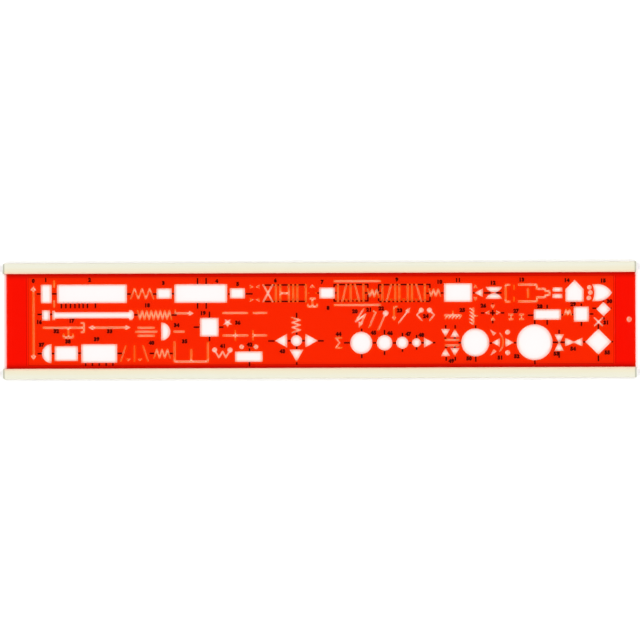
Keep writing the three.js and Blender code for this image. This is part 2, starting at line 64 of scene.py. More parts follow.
class Graph:
    """A node tree, with short calls that add nodes and join them."""

    def __init__(self, tree: bpy.types.NodeTree) -> None:
        """Empties the tree and keeps it.

        Args:
            tree: the node tree of a material, a world or a group.
        """
        tree.nodes.clear()
        self.tree = tree

    def add(self, kind: str, inputs: dict[str | int, Any] | None = None, **settings: Any) -> bpy.types.Node:
        """Adds a node.

        Args:
            kind: the node's type name.
            inputs: for each socket, by name or number, its value or the socket that feeds it.
            settings: the node's own properties.

        Returns:
            The new node.
        """
        node = self.tree.nodes.new(kind)
        for name, value in settings.items():
            setattr(node, name, value)
        for name, value in (inputs or {}).items():
            if isinstance(value, Socket):
                self.tree.links.new(value, node.inputs[name])
            else:
                node.inputs[name].default_value = value
        return node

    def math(self, operation: str, first: Any, second: Any = 0.0, clamp: bool = False) -> Socket:
        """Adds a Math node.

        Args:
            operation: the operation's name.
            first: the first value or socket.
            second: the second value or socket.
            clamp: whether the result is kept between 0 and 1.

        Returns:
            The result's socket.
        """
        inputs = {0: first, 1: second}
        return self.add("ShaderNodeMath", inputs, operation=operation, use_clamp=clamp).outputs[0]

    def ramp(self, value: Any, low: float, high: float, start: float = 0.0, end: float = 1.0) -> Socket:
        """Adds a smooth step, which goes from start to end while the value goes from low to high.

        Args:
            value: the socket that is read.
            low: the value at which the step begins.
            high: the value at which it ends.
            start: what it puts out before low.
            end: what it puts out after high.

        Returns:
            The result's socket.
        """
        inputs = {"Value": value, "From Min": low, "From Max": high, "To Min": start, "To Max": end}
        return self.add("ShaderNodeMapRange", inputs, interpolation_type="SMOOTHSTEP").outputs["Result"]

    def noise(self, vector: Any, scale: Any, detail: float = 2.0, roughness: float = 0.5) -> Socket:
        """Adds a noise pattern.

        Args:
            vector: the socket with the place.
            scale: how many of its blots stand side by side on a metre, as a value or a socket.
            detail: how many finer layers it holds.
            roughness: how strongly the finer layers show.

        Returns:
            The pattern's value, from 0 to 1.
        """
        inputs = {"Vector": vector, "Scale": scale, "Detail": detail, "Roughness": roughness}
        return self.add("ShaderNodeTexNoise", inputs).outputs[0]

    def stretched(self, vector: Any, factors: Triple) -> Socket:
        """Multiplies a place by one factor for each axis, which draws a pattern out along the small ones.

        Args:
            vector: the socket with the place.
            factors: the three factors.

        Returns:
            The stretched place.
        """
        return self.add("ShaderNodeVectorMath", {0: vector, 1: factors}, operation="MULTIPLY").outputs[0]

    def mix(self, factor: Any, first: Any, second: Any) -> Socket:
        """Mixes two colours.

        Args:
            factor: how much of the second colour shows, from 0 to 1.
            first: the first colour or its socket.
            second: the second colour or its socket.

        Returns:
            The mixed colour.
        """
        # Inputs 6 and 7 are the node's two colours, and output 2 is their mix.
        node = self.add("ShaderNodeMix", {"Factor": factor}, data_type="RGBA")
        for place, value in ((6, first), (7, second)):
            if isinstance(value, Socket):
                self.tree.links.new(value, node.inputs[place])
            else:
                node.inputs[place].default_value = (*value, 1.0)
        return node.outputs[2]

    def place(self) -> Socket:
        """Gives the place on the piece, in metres."""
        return self.add("ShaderNodeTexCoord").outputs["Object"]

    def past(self, axes: Any, rectangle: Triple) -> tuple[Socket, Socket]:
        """Measures how far a place lies past a rectangle: along X past its nearer end, |x - middle| - half
        the length, and across past its side, |y| - half the width. Both are below 0 inside.

        Args:
            axes: the place's coordinates, by axis.
            rectangle: its left end, right end and half width in millimetres.

        Returns:
            The distance along and the one across, in metres.
        """
        left, right, side = (size * MM for size in rectangle)
        from_middle = self.math("ABSOLUTE", self.math("SUBTRACT", axes["X"], (left + right) / 2))
        along = self.math("SUBTRACT", from_middle, (right - left) / 2)
        across = self.math("SUBTRACT", self.math("ABSOLUTE", axes["Y"]), side)
        return along, across


class Effects:
    """The surface effects that several finishes share, each a node group that is built once."""

    # For each direction of the scratches, its angle in radians and how far its noise is slid aside.
    SCRATCH_RUNS: tuple[Span, ...] = ((0.35, 0.0), (-0.9, 3.7), (1.75, 8.1))
    SCRATCH_STRETCH: Triple = (1.0, 0.025, 0.3)
    SCRATCH_LEVELS: Span = (0.67, 0.71)
    BROAD_SHARE: float = 0.75

    def __init__(self) -> None:
        """Builds the groups."""
        self.hairlines = self._hairlines()
        self.unevenness = self._unevenness()

    @staticmethod
    def _group(name: str, inputs: dict[str, float], outputs: tuple[str, ...]) -> tuple[Graph, Any, Any]:
        """Starts a group with a Vector input and plain number sockets.

        Args:
            name: the group's name.
            inputs: its number inputs, each with its usual value.
            outputs: its number outputs.

        Returns:
            The group's graph, its input node and its output node.
        """
        tree = bpy.data.node_groups.new(name, "ShaderNodeTree")
        tree.interface.new_socket("Vector", in_out="INPUT", socket_type="NodeSocketVector")
        for label, value in inputs.items():
            socket = tree.interface.new_socket(label, in_out="INPUT", socket_type="NodeSocketFloat")
            socket.default_value = value
        for label in outputs:
            tree.interface.new_socket(label, in_out="OUTPUT", socket_type="NodeSocketFloat")
        graph = Graph(tree)
        return graph, graph.add("NodeGroupInput"), graph.add("NodeGroupOutput")

    def _hairlines(self) -> bpy.types.NodeTree:
        """Makes fine scratches of use in three directions: where a noise that is drawn out forty times along
        a line is at its highest, there is a scratch.

        Returns:
            The group, which puts out a mask of the scratches and their height.
        """
        inputs = {"Scale": 900.0, "Depth": 0.5}
        graph, given, out = self._group("hairline_scratches", inputs, ("Mask", "Height"))
        masks = []
        for angle, slide in self.SCRATCH_RUNS:
            vector = {"Vector": given.outputs["Vector"], "Angle": angle}
            turned = graph.add("ShaderNodeVectorRotate", vector, rotation_type="Z_AXIS")
            terms = {0: turned.outputs[0], 1: (slide, slide, 0.0)}
            moved = graph.add("ShaderNodeVectorMath", terms, operation="ADD")
            drawn = graph.stretched(moved.outputs[0], self.SCRATCH_STRETCH)
            lines = graph.noise(drawn, given.outputs["Scale"], detail=1.0)
            masks.append(graph.ramp(lines, *self.SCRATCH_LEVELS))
        both = graph.math("MAXIMUM", masks[0], masks[1])
        mask = graph.math("MAXIMUM", both, masks[2])
        depth = graph.math("MULTIPLY", mask, given.outputs["Depth"])
        graph.tree.links.new(mask, out.inputs["Mask"])
        graph.tree.links.new(graph.math("MULTIPLY", depth, -1.0), out.inputs["Height"])
        return graph.tree

    def _unevenness(self) -> bpy.types.NodeTree:
        """Makes a slow variation of tone and gloss over a moulded surface: a broad noise with a finer one.

        Returns:
            The group, which puts out a tone from 0 to 1, a shift of roughness about 0, and a height.
        """
        inputs = {"Scale": 30.0, "Grain": 1500.0, "Amount": 0.1}
        labels = ("Tone", "Roughness Shift", "Height")
        graph, given, out = self._group("uneven_surface", inputs, labels)
        broad = graph.noise(given.outputs["Vector"], given.outputs["Scale"], detail=3.0)
        grain = graph.noise(given.outputs["Vector"], given.outputs["Grain"], detail=2.0, roughness=0.6)
        most = graph.math("MULTIPLY", broad, self.BROAD_SHARE)
        rest = graph.math("MULTIPLY", grain, 1.0 - self.BROAD_SHARE)
        tone = graph.math("ADD", most, rest, clamp=True)
        centred = graph.math("SUBTRACT", tone, 0.5)
        shift = graph.math("MULTIPLY", centred, given.outputs["Amount"])
        for label, value in zip(labels, (tone, shift, grain)):
            graph.tree.links.new(value, out.inputs[label])
        return graph.tree


class Finish:
    """A material in the making."""

    name: str

    def start(self) -> tuple[bpy.types.Material, Graph]:
        """Makes the empty material.

        Returns:
            The material and its graph.
        """
        material = bpy.data.materials.new(self.name)
        material.use_nodes = True
        return material, Graph(material.node_tree)

    def close(self, graph: Graph, shader: Socket, volume: Socket | None = None) -> None:
        """Joins the shader, and a volume if there is one, to the material's output.

        Args:
            graph: the material's graph.
            shader: the surface.
            volume: what fills the solid.
        """
        graph.add("ShaderNodeOutputMaterial", {"Surface": shader} | ({"Volume": volume} if volume else {}))

    def shared(self, graph: Graph, tree: bpy.types.NodeTree, place: Any, **values: float) -> bpy.types.Node:
        """Places a shared effect with this finish's own values.

        Args:
            graph: the material's graph.
            tree: the effect's group.
            place: the socket with the place on the piece.
            values: the group's inputs, with spaces in their names written as underscores.

        Returns:
            The group's node.
        """
        node = graph.add("ShaderNodeGroup", node_tree=tree)
        graph.tree.links.new(place, node.inputs["Vector"])
        for label, value in values.items():
            node.inputs[label.replace("_", " ")].default_value = value
        return node


@dataclass(frozen=True)
class TintedSheetFinish(Finish):
    """Clear plastic dyed orange-red all through, so that its depth gives its colour, with a polished skin
    that has the fine scratches of use. Light on its way to the paper passes it as a plain tinted film. Along
    the creases of the recess its colour is darkened as painted shade."""

    name: str = "tinted_sheet"
    roughness: float = 0.06
    ior: float = 1.49
    dye: Colour = (0.997, 0.7, 0.0)
    dye_density: float = 6200.0
    passed: Colour = (0.99, 0.8, 0.5)
    clear: Colour = (1.0, 1.0, 1.0)
    worn: Colour = (0.97, 0.955, 0.94)
    wear: float = 0.5
    scuff: float = 0.12
    wave_height: float = 0.12
    # Painted shade: the darker colour of the lines where the recess meets its slopes.
    crease: Colour = (0.64, 0.5, 0.5)
    crease_width_mm: float = 0.32
    crease_core: float = 0.4
    recess_mm: Triple = RECESS_MM
    slope_mm: float = 1.0

    def build(self, effects: Effects) -> bpy.types.Material:
        """Makes the material.

        Args:
            effects: the shared surface effects.

        Returns:
            The material.
        """
        material, graph = self.start()
        place = graph.place()
        uneven = self.shared(graph, effects.unevenness, place, Scale=45.0, Grain=2600.0, Amount=0.03)
        lines = self.shared(graph, effects.hairlines, place, Scale=1500.0, Depth=0.4)
        waves = graph.math("MULTIPLY", uneven.outputs["Height"], self.wave_height)
        height = graph.math("ADD", waves, lines.outputs["Height"])
        bump = graph.add("ShaderNodeBump", {"Strength": 0.12, "Distance": 0.00002, "Height": height})
        scuffed = graph.math("MULTIPLY", lines.outputs["Mask"], self.scuff)
        uneven_gloss = graph.math("ADD", uneven.outputs["Roughness Shift"], self.roughness)
        wear = graph.math("MULTIPLY", lines.outputs["Mask"], self.wear)
        scratched = graph.mix(wear, self.clear, self.worn)
        shader = graph.add(
            "ShaderNodeBsdfPrincipled",
            {
                # The crease lines are darkened in the colour as painted shade.
                "Base Color": graph.mix(self.creases(graph, place), scratched, self.crease),
                "Roughness": graph.math("ADD", uneven_gloss, scuffed, clamp=True),
                "IOR": self.ior,
                "Transmission Weight": 1.0,
                "Normal": bump.outputs[0],
            },
        )
        dyed = graph.add(
            "ShaderNodeVolumeAbsorption", {"Color": (*self.dye, 1.0), "Density": self.dye_density}
        )
        rays = graph.add("ShaderNodeLightPath").outputs
        lighting = graph.math("MAXIMUM", rays["Is Shadow Ray"], rays["Is Diffuse Ray"])
        passing = graph.add("ShaderNodeBsdfTransparent", {"Color": (*self.passed, 1.0)})
        shaders = {0: lighting, 1: shader.outputs[0], 2: passing.outputs[0]}
        surface = graph.add("ShaderNodeMixShader", shaders)
        self.close(graph, surface.outputs[0], dyed.outputs[0])
        return material

    def creases(self, graph: Graph, place: Socket) -> Socket:
        """Marks the lines where the recess meets its slopes, and those where the slopes at its ends meet
        the full thickness, which the colour darkens as painted shade. The first are where the larger of the
        two distances past the recess is near 0, and the second where the distance along is near the slope's
        length.

        Args:
            graph: the material's graph.
            place: the socket with the place on the sheet.

        Returns:
            The mask of the lines that are painted darker as shade.
        """
        axes = graph.add("ShaderNodeSeparateXYZ", {0: place}).outputs
        along, across = graph.past(axes, self.recess_mm)
        away = graph.math("MAXIMUM", along, across)
        half = self.crease_width_mm * MM / 2
        core = half * self.crease_core
        foot = graph.ramp(graph.math("ABSOLUTE", away), core, half, 1.0, 0.0)
        past_slope = graph.math("SUBTRACT", along, self.slope_mm * MM)
        top = graph.ramp(graph.math("ABSOLUTE", past_slope), core, half, 1.0, 0.0)
        beside = graph.math("LESS_THAN", across, 0.0)
        return graph.math("MAXIMUM", foot, graph.math("MULTIPLY", top, beside))


@dataclass(frozen=True)
class RailFinish(Finish):
    """Ivory extruded plastic: faint streaks along its length, a slow drift between cream and ivory, the
    sheet's red painted along the lips as reflected light, with a little grime there, painted shade at the
    ends, and corners that hands have polished. The lip, the edge and the end are a rail's inner side,
    outer side and end, counted from the template's middle, and a field with from_lip or from_edge in its
    name is counted from that side."""

    name: str = "ivory_rail"
    roughness: float = 0.42
    ior: float = 1.5
    lip_mm: float = 22.5
    edge_mm: float = 27.5
    end_mm: float = 150.0
    ivory: Colour = (0.86, 0.865, 0.735)
    cream: Colour = (0.88, 0.815, 0.61)
    cream_from_lip_mm: float = 0.3
    ivory_from_edge_mm: float = 0.8
    drift_by_noise: float = 0.5
    drift_by_place: float = 0.7
    drift_levels: Span = (0.1, 0.85)
    # Painted reflection: the sheet's red light on the rail near its lip, put in as colour.
    blush: Colour = (1.0, 0.68, 0.48)
    blush_share: float = 0.9
    blush_from_lip_mm: float = 1.5
    grime: Colour = (0.6, 0.5, 0.33)
    grime_share: float = 0.3
    grime_from_lip_mm: Span = (0.15, 0.75)
    blot_stretch: Triple = (0.3, 1.0, 1.0)
    blot_scale: float = 420.0
    # Painted shade: the darker colour along the rails' rounded ends.
    cut: Colour = (0.5, 0.5, 0.4)
    cut_share: float = 0.85
    cut_width_mm: float = 1.1
    streak_stretch: Triple = (0.012, 1.0, 1.0)
    streak_scale: float = 1400.0
    streak_levels: Span = (0.35, 0.7)
    streak_share: float = 0.35
    streak_height: float = 0.8
    wave_height: float = 0.25
    scuff: float = 0.1
    polish: float = 0.14
    polish_from_edge_mm: Span = (0.6, 0.05)

    def build(self, effects: Effects) -> bpy.types.Material:
        """Makes the material.

        Args:
            effects: the shared surface effects.

        Returns:
            The material.
        """
        material, graph = self.start()
        place = graph.place()
        axes = graph.add("ShaderNodeSeparateXYZ", {0: place}).outputs
        across = graph.math("ABSOLUTE", axes["Y"])
        along = graph.math("ABSOLUTE", axes["X"])
        uneven = self.shared(graph, effects.unevenness, place, Scale=22.0, Grain=1800.0, Amount=0.16)
        lines = self.shared(graph, effects.hairlines, place, Scale=700.0, Depth=0.5)
        drawn = graph.stretched(place, self.streak_stretch)
        streaks = graph.noise(drawn, self.streak_scale, detail=3.0, roughness=0.65)

        colour = self.drift(graph, across, uneven.outputs["Tone"])
        streaked = graph.ramp(streaks, *self.streak_levels, 0.0, self.streak_share)
        colour = graph.mix(streaked, colour, self.cream)
        # Painted reflection of the sheet's red near the lips, then blots of grime.
        colour = self.soiled(graph, across, place, colour)
        # Painted shade along the rails' ends.
        end_shade_from = self.end_mm - self.cut_width_mm
        end_shade_to = end_shade_from + self.cut_width_mm / 2
        at_end = graph.ramp(along, end_shade_from * MM, end_shade_to * MM, 0.0, self.cut_share)
        colour = graph.mix(at_end, colour, self.cut)

        height = graph.math("MULTIPLY", streaks, self.streak_height)
        height = graph.math("ADD", height, lines.outputs["Height"])
        waves = graph.math("MULTIPLY", uneven.outputs["Height"], self.wave_height)
        height = graph.math("ADD", height, waves)
        bump = graph.add("ShaderNodeBump", {"Strength": 0.35, "Distance": 0.00004, "Height": height})

        polish_from, polish_to = (self.edge_mm - reach for reach in self.polish_from_edge_mm)
        at_edge = graph.ramp(across, polish_from * MM, polish_to * MM)
        gloss = graph.math("ADD", uneven.outputs["Roughness Shift"], self.roughness)
        gloss = graph.math("ADD", gloss, graph.math("MULTIPLY", lines.outputs["Mask"], self.scuff))
        gloss = graph.math("SUBTRACT", gloss, graph.math("MULTIPLY", at_edge, self.polish), clamp=True)
        shader = graph.add(
            "ShaderNodeBsdfPrincipled",
            {"Base Color": colour, "Roughness": gloss, "IOR": self.ior, "Normal": bump.outputs[0]},
        )
        self.close(graph, shader.outputs[0])
        return material

    def drift(self, graph: Graph, across: Socket, tone: Socket) -> Socket:
        """Mixes ivory and cream: the more cream, the nearer the lip and the higher the tone.

        Args:
            graph: the material's graph.
            across: how far a place is from the template's middle line.
            tone: the uneven surface's tone.

        Returns:
            The colour.
        """
        cream_from = self.lip_mm + self.cream_from_lip_mm
        ivory_from = self.edge_mm - self.ivory_from_edge_mm
        inward = graph.ramp(across, cream_from * MM, ivory_from * MM, 1.0, 0.0)
        by_noise = graph.math("MULTIPLY", tone, self.drift_by_noise)
        by_place = graph.math("MULTIPLY", inward, self.drift_by_place)
        toned = graph.math("ADD", by_noise, by_place)
        return graph.mix(graph.ramp(toned, *self.drift_levels), self.ivory, self.cream)

    def soiled(self, graph: Graph, across: Socket, place: Socket, colour: Socket) -> Socket:
        """Adds what the lip has: the sheet's red as painted reflected light, and on it blots of grime.

        Args:
            graph: the material's graph.
            across: how far a place is from the template's middle line.
            place: the socket with the place on the rail.
            colour: the clean rail's colour.

        Returns:
            The colour with both.
        """
        # Painted reflection: red from the sheet, strongest at the lip.
        red_reflection_to = self.lip_mm + self.blush_from_lip_mm
        reddened = graph.ramp(across, self.lip_mm * MM, red_reflection_to * MM, self.blush_share, 0.0)
        blots = graph.noise(graph.stretched(place, self.blot_stretch), self.blot_scale, detail=3.0)
        low, high = (self.lip_mm + reach for reach in self.grime_from_lip_mm)
        at_lip = graph.ramp(across, low * MM, high * MM, 1.0, 0.0)
        dirt = graph.math("MULTIPLY", graph.math("MULTIPLY", at_lip, blots), self.grime_share)
        return graph.mix(dirt, graph.mix(reddened, colour, self.blush), self.grime)


@dataclass(frozen=True)
class InkFinish(Finish):
    """Black printing ink with a cast of the red below it, which shows most where the ink is thin."""

    name: str = "printing_ink"
    roughness: float = 0.45
    sheen: float = 0.04
    black: Colour = (0.06, 0.001, 0.0006)
    thin: Colour = (0.15, 0.004, 0.001)
    spot_scale: float = 5200.0
    spot_levels: Span = (0.56, 0.66)
    spot_share: float = 0.6

    def build(self, effects: Effects) -> bpy.types.Material:
        """Makes the material.

        Args:
            effects: the shared surface effects.

        Returns:
            The material.
        """
        material, graph = self.start()
        place = graph.place()
        uneven = self.shared(graph, effects.unevenness, place, Scale=500.0, Grain=9000.0, Amount=0.3)
        spots = graph.ramp(graph.noise(place, self.spot_scale, detail=2.0), *self.spot_levels)
        relief = {"Strength": 0.3, "Distance": 0.00001, "Height": uneven.outputs["Height"]}
        bump = graph.add("ShaderNodeBump", relief)
        thinned = graph.math("MULTIPLY", spots, self.spot_share)
        shift = uneven.outputs["Roughness Shift"]
        shader = graph.add(
            "ShaderNodeBsdfPrincipled",
            {
                "Base Color": graph.mix(thinned, self.black, self.thin),
                "Roughness": graph.math("ADD", shift, self.roughness, clamp=True),
                "Specular IOR Level": self.sheen,
                "Normal": bump.outputs[0],
            },
        )
        self.close(graph, shader.outputs[0])
        return material


@dataclass(frozen=True)
class FloorFinish(Finish):
    """White paper. Round the template, what the camera sees of it is lifted to white, all but the shadow,
    and in the cut-outs by a little of the sheet's red, which glows in from their walls. Where it is seen
    through the sheet, it is mostly an even glow in the colour of the light that the sheet lets down, deeper
    below the thick ends and sides, and shaded beside the rails. A rectangle is its left and right end and
    its half width."""

    name: str = "white_floor"
    white: Colour = (0.95, 0.95, 0.95)
    lift: float = 0.22
    lift_in_cuts: float = 0.07
    tint_in_cuts: Colour = (1.0, 0.1, 0.0)
    template_mm: Triple = (-149.0, 149.0, 27.0)
    field_mm: Triple = RECESS_MM
    fade_mm: float = 1.0
    even_share: float = 0.75
    below_field: Colour = (1.0, 0.085, 0.0)
    below_ends: Colour = (1.0, 0.045, 0.0)
    below_strength: float = 1.107
    rail_shade: float = 0.35
    rail_shade_mm: Span = (19.0, 23.5)

    def build(self) -> bpy.types.Material:
        """Makes the material.

        Returns:
            The material.
        """
        material, graph = self.start()
        fade = self.fade_mm * MM
        paper = graph.add("ShaderNodeBsdfDiffuse", {"Color": (*self.white, 1.0)})
        rays = graph.add("ShaderNodeLightPath").outputs
        axes = graph.add("ShaderNodeSeparateXYZ", {0: graph.place()}).outputs
        outside = graph.math("MAXIMUM", *graph.past(axes, self.template_mm))
        lift = graph.ramp(outside, 0.0, fade, self.lift_in_cuts, self.lift)
        seen = graph.math("MULTIPLY", rays["Is Camera Ray"], lift)
        tint = graph.mix(graph.ramp(outside, 0.0, fade), self.tint_in_cuts, self.white)
        glow = graph.add("ShaderNodeEmission", {"Color": tint, "Strength": seen})
        thick = graph.ramp(graph.math("MAXIMUM", *graph.past(axes, self.field_mm)), 0.0, fade)
        colour = graph.mix(thick, self.below_field, self.below_ends)
        clear, shaded = (reach * MM for reach in self.rail_shade_mm)
        shade = graph.ramp(graph.math("ABSOLUTE", axes["Y"]), clear, shaded, 1.0, self.rail_shade)
        strength = graph.math("MULTIPLY", shade, self.below_strength)
        below = graph.add("ShaderNodeEmission", {"Color": colour, "Strength": strength})
        even = graph.math("MULTIPLY", rays["Is Transmission Ray"], self.even_share)
        evened = graph.add("ShaderNodeMixShader", {0: even, 1: paper.outputs[0], 2: below.outputs[0]})
        both = graph.add("ShaderNodeAddShader", {0: evened.outputs[0], 1: glow.outputs[0]})
        self.close(graph, both.outputs[0])
        return material


def new_piece(
    name: str, points: np.ndarray, faces: list[list[int]], material: bpy.types.Material
) -> bpy.types.Object:
    """Makes a piece of the object out of points and faces, and lets it ride on the template.

    Args:
        name: the piece's name.
        points: its points in metres, one to a row.
        faces: each face's points by number, counter-clockwise seen from outside.
        material: its finish.

    Returns:
        The piece, at the origin.
    """
    mesh = bpy.data.meshes.new(name)
    mesh.from_pydata(points.tolist(), [], faces)
    mesh.update()
    mesh.materials.append(material)
    piece = bpy.data.objects.new(name, mesh)
    bpy.context.scene.collection.objects.link(piece)
    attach(piece, BODY)
    log.info("%s: %d points, %d faces", name, len(mesh.vertices), len(mesh.polygons))
    return piece


class Run(Enum):
    """Which way a printed stroke runs."""

    ALONG = 0
    ACROSS = 1


@dataclass
class PrintedMarks:
    """The sheet's ink: index figures, guide ticks and the dashed outlines of the valve blocks.

    A place is typed as its distance from the left end of the rails and its height over the lower rail's
    lip, both in millimetres. The print's lines lean a little against the rails, and lean takes that out.
    Floor is the height of the sheet's top in its recess, bite is how deep the ink goes into it, and film is
    how far it stands above it.
    """

    middle: Span = (150.0, 22.5)
    lean: float = 0.0031
    floor: float = 1.5
    bite: float = 0.004
    film: float = 0.014
    shoulder: float = 0.6
    corner: float = 0.1
    corner_steps: int = 4
    tick_width: float = 0.72
    dash_width: float = 0.7
    figure_size: float = 2.3
    figure_gain: float = 0.203
    figure_pitch: float = 1.3
    figure_steps: int = 4
    figure_merge: float = 0.002

    # The places of the numbers from 0 up.
    FIGURES: ClassVar[tuple[Span, ...]] = (
        (14.4, 42.1), (20.3, 42.5), (41.1, 42.4), (76.0, 40.7), (101.3, 41.5), (111.2, 40.0),
        (129.1, 41.6), (151.3, 40.7), (154.0, 28.4), (186.6, 41.6), (206.8, 40.4), (215.6, 41.2),
        (232.1, 39.8), (245.7, 41.2), (267.1, 40.8), (284.3, 40.5), (17.1, 22.6), (32.5, 23.0),
        (68.3, 30.2), (94.7, 26.3), (166.7, 26.7), (173.4, 27.4), (179.2, 28.0), (187.9, 27.0),
        (200.3, 24.2), (217.6, 27.0), (227.6, 29.0), (243.1, 26.4), (254.3, 28.5), (270.1, 29.4),
        (287.3, 30.7), (285.7, 20.6), (25.2, 18.2), (50.5, 18.0), (82.2, 20.7), (86.0, 13.0),
        (111.2, 21.7), (18.2, 11.8), (30.7, 13.3), (44.3, 14.3), (70.3, 12.4), (104.1, 10.7),
        (116.8, 11.3), (132.3, 8.0), (158.9, 16.0), (175.5, 16.5), (183.3, 16.3), (192.0, 15.8),
        (198.1, 15.3), (212.3, 2.9), (220.7, 4.0), (235.5, 4.3), (243.3, 4.9), (262.0, 6.0),
        (270.0, 8.3), (286.2, 6.4),
    )

    # Ticks along the template: start, end, height. A row of symbols to a paragraph.
    TICKS_ALONG: ClassVar[tuple[Triple, ...]] = (
        (16.0, 17.8, 35.9), (23.2, 25.5, 35.9), (58.8, 60.6, 35.6), (71.0, 72.8, 35.5),
        (80.0, 81.1, 35.6), (106.7, 107.4, 35.3), (115.0, 118.3, 35.3), (148.9, 149.8, 35.5),
        (157.3, 158.1, 35.5), (171.4, 172.7, 35.4), (178.0, 179.3, 35.3), (200.6, 201.8, 35.0),
        (207.4, 208.7, 35.1), (222.7, 223.5, 35.1), (227.8, 231.0, 35.0), (233.6, 236.2, 35.0),

        (16.3, 18.4, 26.2), (22.3, 23.3, 26.2), (62.2, 63.8, 25.7), (79.8, 82.3, 25.5),
        (90.3, 93.0, 19.7), (102.4, 104.4, 19.6), (226.4, 228.1, 25.5), (230.7, 233.2, 25.5),
        (235.8, 237.5, 25.5), (248.6, 251.3, 24.3), (264.6, 265.3, 24.4), (269.6, 270.2, 24.5),
        (277.8, 279.7, 24.7), (279.2, 281.0, 27.4), (287.9, 288.3, 27.4),

        (16.3, 18.3, 7.6), (23.1, 24.3, 7.6), (35.5, 36.8, 7.7), (54.1, 56.3, 7.5),
        (69.4, 71.5, 7.4), (78.9, 80.4, 7.3), (125.6, 128.6, 12.9), (134.9, 136.2, 12.9),
        (141.6, 143.0, 12.9), (149.2, 151.9, 12.8), (161.5, 164.3, 11.8), (175.2, 176.7, 11.7),
        (184.6, 186.2, 11.6), (192.2, 193.5, 11.6), (198.1, 199.4, 11.6), (203.6, 204.8, 11.6),
        (215.7, 217.0, 11.5), (230.4, 231.6, 11.2), (242.0, 243.2, 11.3), (260.4, 262.9, 11.4),
        (264.0, 266.2, 11.4), (274.8, 275.8, 11.5), (288.2, 289.0, 11.5), (209.0, 210.0, 13.7),
        (213.5, 214.5, 13.7), (209.3, 210.3, 9.35), (213.5, 214.5, 9.35),
    )

    # Ticks across the template: distance along, foot, top.
    TICKS_ACROSS: ClassVar[tuple[Triple, ...]] = (
        (92.2, 40.0, 43.0), (96.3, 40.0, 43.0), (92.2, 28.4, 31.1), (96.3, 28.4, 31.1),
        (97.8, 24.2, 27.0), (97.8, 13.0, 15.2), (139.1, 23.8, 26.2), (139.1, 15.8, 16.8),
        (139.1, 9.0, 10.3), (139.1, 1.5, 2.8), (232.0, 24.3, 26.9), (232.0, 29.6, 30.1),
        (232.0, 20.5, 21.9), (257.8, 27.4, 29.2), (257.8, 19.7, 22.0), (274.0, 28.5, 29.7),
        (274.0, 19.0, 21.0), (284.5, 30.5, 31.0), (284.7, 22.0, 23.0), (282.0, 17.5, 19.8),
        (282.0, 2.3, 5.0), (116.7, 8.1, 9.5), (116.7, 1.0, 3.0), (169.9, 17.2, 18.5),
        (169.9, 4.5, 6.4), (180.7, 15.5, 17.8), (180.7, 5.9, 7.8), (189.2, 14.6, 16.4),
        (189.2, 7.3, 8.6), (195.9, 13.8, 15.3), (195.9, 8.3, 9.5), (209.7, 18.2, 19.9),
        (214.2, 18.2, 19.9), (209.9, 3.0, 4.8), (214.2, 3.0, 4.8), (223.9, 18.3, 19.7),
        (223.9, 2.4, 5.0), (251.9, 20.0, 22.0), (251.9, 1.0, 2.9), (263.4, 15.4, 17.3),
        (263.4, 4.0, 7.0),
    )

    # Scales of short ticks below two blocks: their distances along, and their foot and top.
    SCALES: ClassVar[tuple[tuple[tuple[float, ...], float, float], ...]] = (
        ((27.7, 29.8, 32.0, 34.1, 36.1, 38.0, 40.0, 43.8), 29.0, 31.2),
        ((39.1, 42.3, 45.5, 48.8, 52.0), 1.6, 3.0),
    )

    # Dashed outlines of the valve blocks: height, then each dash's start and end.
    DASHES: ClassVar[tuple[tuple[float, tuple[float, ...]], ...]] = (
        (39.4, (124.0, 127.0, 128.1, 128.8, 130.1, 130.8, 131.9, 135.0, 136.0, 137.0, 138.1, 139.0,
                140.0, 143.1)),
        (31.6, (124.0, 127.0, 128.2, 128.8, 130.1, 130.8, 131.9, 135.0, 136.0, 137.0, 138.1, 139.0,
                140.0, 143.1)),
        (39.4, (156.7, 158.1, 159.2, 162.1, 163.1, 164.1, 165.3, 166.1, 167.3, 170.1, 171.3, 173.1)),
        (31.6, (156.6, 158.1, 159.4, 160.1, 161.4, 162.2, 163.3, 164.1, 165.4, 166.1, 167.2, 168.2,
                169.3, 170.2, 171.3, 173.1)),
        (39.2, (178.0, 179.3, 180.4, 183.2, 184.4, 185.2, 186.4, 187.2, 188.4, 191.3, 192.4, 193.2,
                194.4, 195.2, 196.5, 199.2, 200.5, 202.6)),
        (31.2, (178.3, 179.4, 180.4, 181.4, 182.4, 183.4, 184.5, 185.3, 186.4, 187.2, 188.3, 189.3,
                190.4, 191.3, 192.4, 193.3, 194.3, 195.2, 196.3, 197.5, 198.6, 199.4, 200.4, 202.3)),
    )

    # Their short dashes across: distance along, foot, top.
    DASH_ENDS: ClassVar[tuple[Triple, ...]] = (
        (156.9, 38.2, 39.5), (156.9, 31.5, 32.7), (172.9, 37.8, 39.5), (172.9, 31.5, 34.5),
        (178.0, 36.0, 39.4), (178.0, 31.4, 32.8), (202.3, 37.5, 39.3), (202.3, 31.3, 33.4),
    )

    def in_frame(self, places: np.ndarray) -> np.ndarray:
        """Turns typed places into the model's frame: x = distance - middle, y = height + lean * x - middle.

        Args:
            places: distances and heights in millimetres, one pair to a row.

        Returns:
            X and Y in millimetres, one pair to a row.
        """
        x = places[:, 0] - self.middle[0]
        return np.column_stack([x, places[:, 1] + self.lean * x - self.middle[1]])

